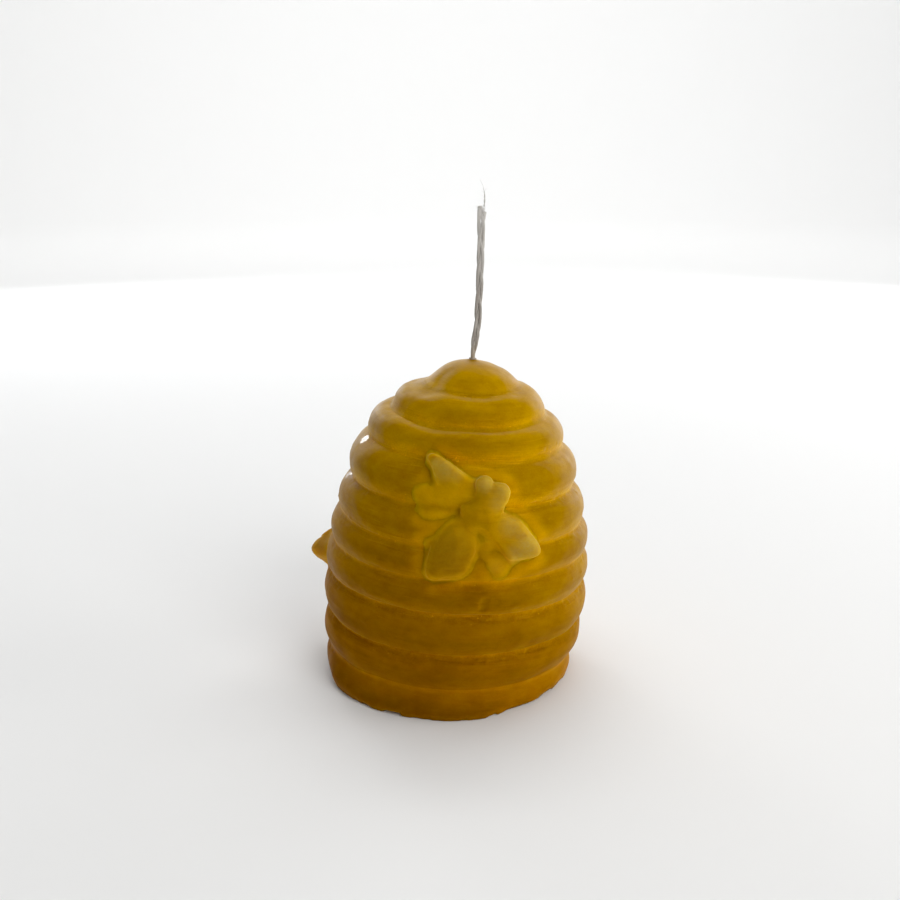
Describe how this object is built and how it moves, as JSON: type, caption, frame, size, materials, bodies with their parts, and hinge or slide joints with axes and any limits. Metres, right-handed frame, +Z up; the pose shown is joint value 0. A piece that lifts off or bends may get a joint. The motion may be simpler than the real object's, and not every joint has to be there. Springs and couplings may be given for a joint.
{
  "type": "beehive candle",
  "caption": "Cast beeswax candle shaped like a coiled straw beehive, with bees in relief on its side and a braided cotton wick, standing on a flat foot.",
  "frame": {"origin": "middle of the flat foot, on the surface that the candle stands on", "axes": "+Z up; -Y the front, where the front bee sits; +X the side that the body leans towards"},
  "size_m": [0.0803, 0.0783, 0.1362],
  "materials": {
    "beeswax": "waxy satin, slightly translucent",
    "bee_wax": "waxy satin, slightly translucent",
    "wick_cotton": "braided cotton, matte",
    "yarn_cotton": "loose cotton yarn, matte"
  },
  "bodies": {
    "root": {"wax_body": "beeswax", "front_bee": "bee_wax", "left_bee": "bee_wax", "back_bee": "bee_wax", "wick_core": "wick_cotton", "wick_free": "wick_cotton", "wick_loose_yarn": "yarn_cotton"}
  },
  "joints": []
}
